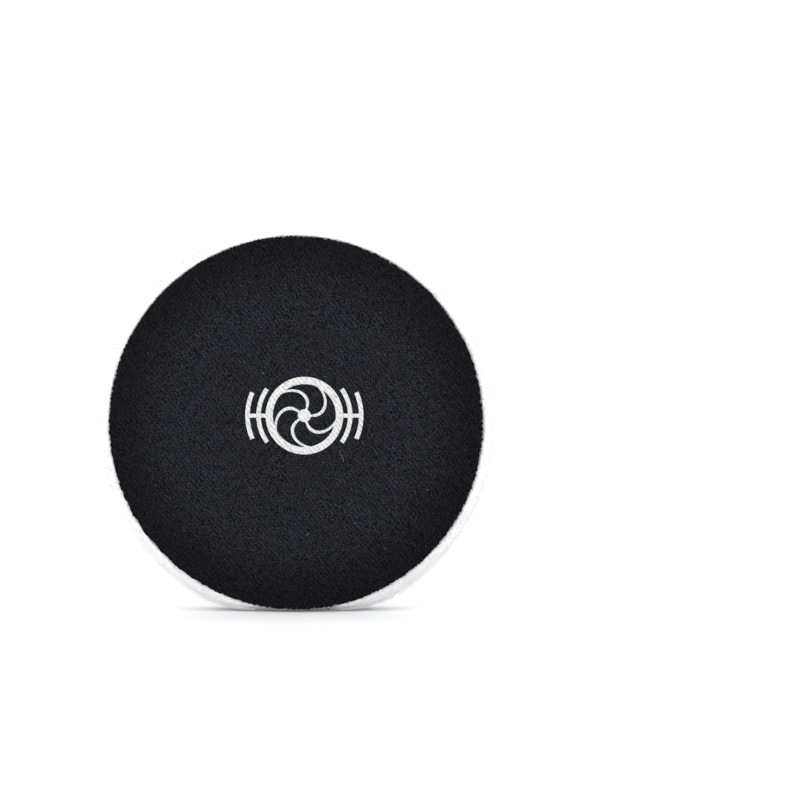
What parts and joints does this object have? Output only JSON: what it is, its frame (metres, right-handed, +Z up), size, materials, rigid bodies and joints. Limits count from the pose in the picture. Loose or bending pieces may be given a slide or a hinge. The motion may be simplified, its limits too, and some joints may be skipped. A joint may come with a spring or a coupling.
{
  "type": "polishing pad",
  "caption": "Round wool polishing pad with a foam core and a flat loop-fabric face for a hook-and-loop backing plate, standing on its rim.",
  "frame": {"origin": "on the floor under the middle of the pad, which stands on its rim", "axes": "+Y along the pad's axis towards the wool face, +Z up, the black loop face towards -Y"},
  "size_m": [0.165, 0.0246, 0.1587],
  "materials": {
    "white_ink": "screen-printed white ink, matt, with the fabric's ribs showing through",
    "black_loop_fabric": "brushed black nylon loop fabric with a fine diagonal rib",
    "bond_film": "thin hot-melt adhesive film",
    "foam": "fine open-cell foam, off-white",
    "base_cloth": "knitted base cloth, off-white",
    "wool": "short dense wool pile, off-white, brushed"
  },
  "bodies": {
    "root": {"printed_mark": "white_ink", "loop_fabric": "black_loop_fabric", "loop_bond_film": "bond_film", "foam_core": "foam", "wool_bond_film": "bond_film", "wool_base_cloth": "base_cloth", "wool_pile": "wool"}
  },
  "joints": []
}
